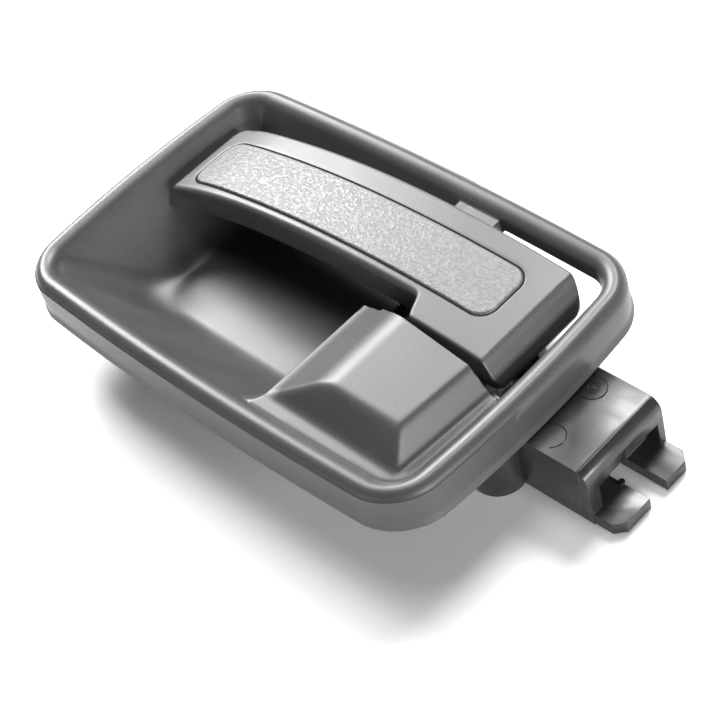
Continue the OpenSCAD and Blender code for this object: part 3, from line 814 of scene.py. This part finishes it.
def build_lever_cover():
    """The cover as one closed shell: back with its pocket, side walls, foot and inside."""
    spacing = 0.4
    outline = lever_outline(spacing)
    pocket = [pocket_loop(POCKET_GAP + g, spacing) for g in (-0.02, 0, 0.07, 0.2)]
    rolls = [offset_loop(outline, i) for i in (0.08, 0.22, 0.42, 0.68, 1.0, 1.4, 1.85, 2.3)]
    rolls = [r[distance_to(r, pocket[1]) > 0.4] for r in rolls]
    loose = lever_area(outline, spacing * 1.6, 2.6)
    loose = loose[distance_to(loose, pocket[1]) > 0.5]
    points, tris, (edge_at, *_) = triangles([outline, *pocket], np.concatenate([*rolls, loose]))
    tris = tris[inside(points[tris].mean(1), outline)]
    x, y = points.T
    r = roll_radius(x, y)
    short = np.clip(r - distance_to(points, outline), 0, r)
    top = lever_top(x) - (r - np.sqrt(np.clip(r ** 2 - short ** 2, 0, None)))
    reach = box_distance(x, y - sway(x), INSERT_X0, INSERT_X1, INSERT_Y0, INSERT_Y1, INSERT_R)
    top = top - 0.14 * np.exp(-np.maximum(reach - POCKET_GAP, 0) / 0.09) * (reach > POCKET_GAP - 0.01)
    top = np.where(reach < POCKET_GAP - 0.01, arch(x) - POCKET_DEPTH, top)
    skin = Skin()
    skin.add_plan(points, tris, top)
    # Side walls, flared a little at the free end
    outline, edge = points[edge_at], top[edge_at]
    foot = np.minimum(lever_foot(outline[:, 0]), edge - 0.3)
    flare = ease((-42 - outline[:, 0]) / 9)
    near_flare = flare * ease((12 - outline[:, 1]) / 6)
    out_by = -np.stack([flare * 0.6, near_flare * 2.0], 1)
    sides = [np.column_stack([outline + out_by * t ** 1.5, edge + (foot - edge) * t])
             for t in (0, 0.05, 0.2, 0.45, 0.7, 0.88, 0.96)]
    lip = drawn_in(outline + out_by, 0.25)
    sides.append(np.column_stack([lip, foot]))
    skin.add_bands(sides, flip=True)
    # The foot of the walls
    inner = offset_loop(outline, LEVER_WALL)
    rim, rim_tris, (lip_at, inner_at) = triangles([lip, inner], np.zeros((0, 2)))
    rim_middle = rim[rim_tris].mean(1)
    ring = inside(rim_middle, lip) & ~inside(rim_middle, inner)
    rim_z = np.zeros(len(rim))
    rim_z[inner_at] = lever_foot(inner[:, 0])
    rim_z[lip_at] = foot
    skin.add_plan(rim, rim_tris[ring], rim_z, flip=True)
    # The inside walls and the inside of the back
    roof = np.maximum(lever_top(inner[:, 0]) - LEVER_WALL, rim_z[inner_at] + 0.1)
    under, under_tris, (inner_top,) = triangles([inner], lever_area(inner, 1.2, 0.5))
    skin.add_bands([np.column_stack([rim[inner_at], rim_z[inner_at]]),
                    np.column_stack([under[inner_top], roof])], flip=True)
    under_z = lever_top(under[:, 0]) - LEVER_WALL
    under_z[inner_top] = roof
    under_tris = under_tris[inside(under[under_tris].mean(1), inner)]
    skin.add_plan(under, under_tris, under_z, flip=True)
    # The two bosses that take the cover screws
    for boss_x, boss_y in COVER_SCREWS:
        back = float(arch(boss_x))
        skin.add_tube(boss_x, boss_y, z0=back - 4.0, z1=back - 1.9, outer=3.0, inner=1.2)
    return skin.mesh("lever_cover_moulding", crease=48)


def build_lever_insert():
    """The pad that fills the lever's pocket and stands a little proud."""
    spacing = 0.4
    x0, x1, y0, y1 = INSERT_X0, INSERT_X1, INSERT_Y0, INSERT_Y1
    outline = round_box_loop(x0, x1, y0, y1, INSERT_R, spacing)
    rolls = [round_box_loop(x0 + i, x1 - i, y0 + i, y1 - i, INSERT_R - i, spacing)
             for i in (0.06, 0.16, 0.3, INSERT_EDGE, 0.8)]
    loose = grid_points(x0, x1, y0, y1, spacing * 2)
    loose = loose[box_distance(*loose.T, x0, x1, y0, y1, INSERT_R) < -1.2]
    points, tris, (edge_at,) = triangles([outline], np.concatenate([*rolls, loose]))
    tris = tris[inside(points[tris].mean(1), outline)]
    x, y = points.T
    d = np.clip(-box_distance(x, y, x0, x1, y0, y1, INSERT_R), 0, INSERT_EDGE)
    roll = np.sqrt(np.clip(INSERT_EDGE ** 2 - (INSERT_EDGE - d) ** 2, 0, None))
    top = arch(x) + PROUD - INSERT_EDGE + roll
    bottom = arch(x) - POCKET_DEPTH + 0.02
    points[:, 1] += sway(x)
    skin = Skin()
    skin.add_plan(points, tris, top)
    skin.add_plan(points, tris, bottom, flip=True)
    skin.add_bands([np.column_stack([points[edge_at], height[edge_at]]) for height in (top, bottom)],
                   flip=True)
    return skin.mesh("lever_insert_pad", crease=60)


piece("lever_cover_moulding", build_lever_cover(), "lever", "lever_plastic", LEVER_LOOK, "lever_cover")
piece("lever_insert_pad", build_lever_insert(), "lever", "insert_plastic", INSERT_LOOK, "lever_insert")

# ---------------------------------------------------------------- bracket

ARM_TOP_Z = -0.5                      # the rod arm's top
ARM_SIDES = (-5.3, 18.2)              # and its near and far side
FAR_EJECTOR, NEAR_EJECTOR = (65.8, 13.2), (66.8, -1.0)


def ring_bead(skin, centre, radius, bead, a0=0, a1=360):
    """A raised witness ring left by an ejector pin on the arm's top."""
    x, y = centre
    angles = np.radians(np.linspace(a0, a1, max(8, int((a1 - a0) / 9))))
    skin.add_sweep([(x + radius * math.cos(a), y + radius * math.sin(a), ARM_TOP_Z) for a in angles],
                   bead, 6)


def mould_marks():
    """Ejector rings and the parting line on the bracket's rod arm."""
    marks = Skin()
    ring_bead(marks, FAR_EJECTOR, 3.0, 0.14)
    ring_bead(marks, FAR_EJECTOR, 1.3, 0.12)
    ring_bead(marks, NEAR_EJECTOR, 3.0, 0.13, -60, 150)
    marks.add_tube(*FAR_EJECTOR, ARM_TOP_Z - 0.4, ARM_TOP_Z + 0.22, 0.55, 0.1, 16)
    # The parting line runs down both sides and over the top
    line_x = bracket_hi.x - 8.6
    for y in ARM_SIDES:
        marks.add_sweep([(line_x, y, z) for z in np.linspace(-1.6, BASE_Z + 0.5, 12)], 0.13, 6)
    marks.add_sweep([(line_x, y, ARM_TOP_Z - 0.02) for y in np.linspace(-4.6, 17.5, 14)], 0.1, 6)
    marks.add_tube(78.6, 4.3, -13.4, -12.3, 0.7, 0.12, 16)
    return marks.mesh("bracket_marks")


def build_bracket():
    """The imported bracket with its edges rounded, and the marks that its mould leaves."""
    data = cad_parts["bracket"].data.copy()
    tidy(data, 1e-6)
    edited(data, lambda bm: bmesh.ops.dissolve_limit(
        bm, angle_limit=math.radians(3), verts=bm.verts, edges=bm.edges))
    ob = bpy.data.objects.new("bracket_blank", data)
    bpy.context.scene.collection.objects.link(ob)
    bevel = ob.modifiers.new("edges", "BEVEL")
    bevel.width, bevel.segments = 0.45 * MM, 3
    bevel.limit_method, bevel.angle_limit = "ANGLE", math.radians(40)
    bevel.use_clamp_overlap = True
    rounded = baked(ob, "bracket_moulding")
    marks = mould_marks()
    edited(rounded, lambda bm: bm.from_mesh(marks))
    rounded.shade_smooth()
    rounded.set_sharp_from_angle(angle=math.radians(35))
    return rounded


piece("bracket_moulding", build_bracket(), "housing", "bracket_plastic", BRACKET_LOOK, "bracket")

# ---------------------------------------------------------------- return spring

COIL_Y = (6.0, 11.2)


def build_spring():
    """Four close turns round the spool, one leg up under the core and one down to the cross wall."""
    coil, wire, turns, steps = 4.1, 0.55, 4, 40
    y0, y1 = COIL_Y
    path = [(PIVOT_X + 7, y1, 4.9), (PIVOT_X + 5.2, y1, 4.7), (PIVOT_X + 2.4, y1, 4.3)]
    for i in range(turns * steps + 1):
        a = math.radians(90 + 360 * i / steps)
        y = y1 - (y1 - y0) * i / (turns * steps)
        path.append((PIVOT_X + coil * math.cos(a), y, coil * math.sin(a)))
    path += [(PIVOT_X - 3, y0, 3.7), (33.6, y0, 1.4), (31.6, y0, -1.2), (28.8, y0, -4.3)]
    skin = Skin()
    skin.add_sweep(path, wire, 14)
    return skin.mesh("return_spring_wire")


# One leg stays on the bracket and the other turns with the lever, so the coil winds up between them
spring = piece("return_spring_wire", build_spring(), None, "spring_steel", SPRING_LOOK, "return_spring")
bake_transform(spring)

# ---------------------------------------------------------------- screws, set out with Geometry Nodes

SCREW_SEED, SCREW_TURN = 7, 1.4       # each screw is turned by up to this many radians
HUMP_SCREW_UP = 6                     # its head stands this far above the bracket's back
COVER_SCREW_DOWN = 8.2                # and these heads this far below the lever's back


def screw_master(head_r, head_h, shank_r, length):
    """A self-tapping screw, head down: a domed head with a cross recess, and a thread."""
    skin = Skin()
    n = 32
    a = np.linspace(0, 2 * np.pi, n, endpoint=False)

    def ring(r, z):
        return np.column_stack([r * np.cos(a), r * np.sin(a), np.full(n, z)])

    def recessed(r, z):
        made = ring(r, z)
        if r < head_r * 0.62 and z < head_h * 0.5:
            arm = np.minimum(np.abs(np.sin(a)), np.abs(np.cos(a))) * r
            made[:, 2] += np.where(arm < 0.42, head_h * 0.55, 0.0)
        return made

    profile = [(0.05, 0.02), (head_r * 0.2, 0.02), (head_r * 0.36, 0.02), (head_r * 0.52, 0.03),
               (head_r * 0.6, 0.04), (head_r * 0.66, 0.05), (head_r * 0.86, 0.18), (head_r, head_h * 0.55),
               (head_r, head_h), (shank_r, head_h)]
    skin.add_bands([recessed(r, z) for r, z in profile])
    # The thread: the shank's radius rises and falls along a helix, one turn for each millimetre
    rings = [ring(shank_r, head_h)]
    for z in np.arange(head_h, length - 1.2, 0.12)[1:]:
        wave = (z + a / (2 * np.pi)) % 1
        rings.append(ring(shank_r * (0.8 + 0.2 * np.clip(1 - np.abs(wave - 0.5) * 4, 0, 1)), z))
    rings.append(ring(0.15, length))
    skin.add_bands(rings)
    return skin.mesh("screw_master", crease=40)


def set_out(name, master, places, material):
    """Puts the master mesh at each place with Geometry Nodes, then bakes the result."""
    holder = bpy.data.objects.new(name + "_master", master)
    bpy.context.scene.collection.objects.link(holder)
    points = bpy.data.meshes.new(name + "_points")
    points.from_pydata([tuple(c * MM for c in p) for p in places], [], [])
    ob = bpy.data.objects.new(name + "_field", points)
    bpy.context.scene.collection.objects.link(ob)
    tree = bpy.data.node_groups.new(name + "_nodes", "GeometryNodeTree")
    face = tree.interface
    face.new_socket("Geometry", in_out="INPUT", socket_type="NodeSocketGeometry")
    master_in = face.new_socket("Master", in_out="INPUT", socket_type="NodeSocketObject")
    turn_in = face.new_socket("Turn", in_out="INPUT", socket_type="NodeSocketFloat")
    look_in = face.new_socket("Look", in_out="INPUT", socket_type="NodeSocketMaterial")
    face.new_socket("Geometry", in_out="OUTPUT", socket_type="NodeSocketGeometry")
    new, link = tree.nodes.new, tree.links.new
    start, end = new("NodeGroupInput"), new("NodeGroupOutput")
    info, place, real, paint = (new("GeometryNode" + k) for k in
                                ("ObjectInfo", "InstanceOnPoints", "RealizeInstances", "SetMaterial"))
    rand = new("FunctionNodeRandomValue")
    rand.data_type = "FLOAT"
    rand.inputs["Seed"].default_value = SCREW_SEED
    turn = new("ShaderNodeCombineXYZ")
    link(start.outputs["Geometry"], place.inputs["Points"])
    link(start.outputs["Master"], info.inputs["Object"])
    link(info.outputs["Geometry"], place.inputs["Instance"])
    link(start.outputs["Turn"], rand.inputs[3])
    link(rand.outputs[1], turn.inputs["Z"])
    link(turn.outputs[0], place.inputs["Rotation"])
    link(place.outputs["Instances"], real.inputs["Geometry"])
    link(real.outputs["Geometry"], paint.inputs["Geometry"])
    link(start.outputs["Look"], paint.inputs["Material"])
    link(paint.outputs["Geometry"], end.inputs["Geometry"])
    field = ob.modifiers.new("set_out", "NODES")
    field.node_group = tree
    field[master_in.identifier] = holder
    field[turn_in.identifier] = SCREW_TURN
    field[look_in.identifier] = material
    made = baked(ob, name)
    bpy.data.objects.remove(holder)
    return made


foot_z = box_mm("bracket_screws")[0].z
bracket_places = [(x, y, foot_z) for x, y in FOOT_SCREWS] + [(*HUMP_SCREW, BASE_Z + HUMP_SCREW_UP)]
cover_places = [(x, y, float(arch(x)) - COVER_SCREW_DOWN) for x, y in COVER_SCREWS]
bracket_screw = screw_master(head_r=3.2, head_h=1.6, shank_r=1.25, length=11.5)
bracket_set = set_out("bracket_screws_set", bracket_screw, bracket_places, SCREW_LOOK)
cover_screw = screw_master(head_r=2.5, head_h=1.1, shank_r=1.2, length=5.2)
cover_set = set_out("cover_screws_set", cover_screw, cover_places, SCREW_LOOK)
piece("bracket_screws_set", bracket_set, "housing", "zinc_steel", SCREW_LOOK, "bracket_screws")
piece("cover_screws_set", cover_set, "lever", "zinc_steel", SCREW_LOOK, "cover_screws")

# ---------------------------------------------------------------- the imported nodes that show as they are

for node, look in NODE_LOOKS.items():
    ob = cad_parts[node]
    ob.data.materials.clear()
    ob.data.materials.append(look)

# ---------------------------------------------------------------- floor, light and camera

scene = bpy.context.scene
scene.view_settings.view_transform = "Standard"

floor_half = 2
floor_data = bpy.data.meshes.new("floor")
floor_data.from_pydata([(x * floor_half, y * floor_half, BASE_Z * MM)
                        for x, y in ((-1, -1), (1, -1), (1, 1), (-1, 1))], [], [(0, 1, 2, 3)])
floor_shade = Shade("floor_white", Roughness=0.6)
floor_tone = floor_shade.noise(floor_shade.place(), 8, 2).span(0.3, 0.7)
floor_shade.out(Base_Color=floor_shade.mix(floor_tone, (0.90, 0.885, 0.90, 1), (0.92, 0.905, 0.915, 1)))
floor_data.materials.append(floor_shade.material)
floor = bpy.data.objects.new("floor", floor_data)
scene.collection.objects.link(floor)

world = bpy.data.worlds.new("studio")
world.use_nodes = True
glow = world.node_tree.nodes["Background"]
glow.inputs["Color"].default_value = (1, 0.985, 1, 1)
glow.inputs["Strength"].default_value = 0.06
scene.world = world


def lamp(name, azimuth, height, size, power):
    """A panel one metre from the handle, aimed at it, at an azimuth and height in degrees."""
    a, h = math.radians(azimuth), math.radians(height)
    data = bpy.data.lights.new(name, "AREA")
    data.shape, data.size, data.size_y = "RECTANGLE", size[0], size[1]
    data.energy = power
    ob = bpy.data.objects.new(name, data)
    scene.collection.objects.link(ob)
    ob.location = (math.cos(a) * math.cos(h), math.sin(a) * math.cos(h), math.sin(h))
    ob.rotation_euler = (-ob.location).to_track_quat("-Z", "Y").to_euler()


lamp("far_panel", 108, 50, (0.45, 0.3), 12)
lamp("left_panel", 161, 35, (0.5, 0.3), 17)
lamp("right_panel", -4, 13, (0.6, 0.22), 11)
lamp("top_panel", 150, 76, (0.4, 0.4), 3)
lamp("near_fill", 262, 12, (0.6, 0.2), 1.2)

# Where the camera stands, and its own three axes
EYE = Vector((246.65, -150.71, 280.20)) * MM
RIGHT = Vector((0.698169, 0.681347, -0.219830))
UP = Vector((-0.411718, 0.633308, 0.655293))
BACK = Vector((0.585702, -0.366998, 0.722679))

camera_data = bpy.data.cameras.new("camera")
camera_data.sensor_width, camera_data.lens = 36, 91.235
camera_data.clip_start, camera_data.clip_end = 0.02, 10
camera = bpy.data.objects.new("camera", camera_data)
scene.collection.objects.link(camera)
camera.matrix_world = Matrix.Translation(EYE) @ Matrix((RIGHT, UP, BACK)).transposed().to_4x4()
scene.camera = camera
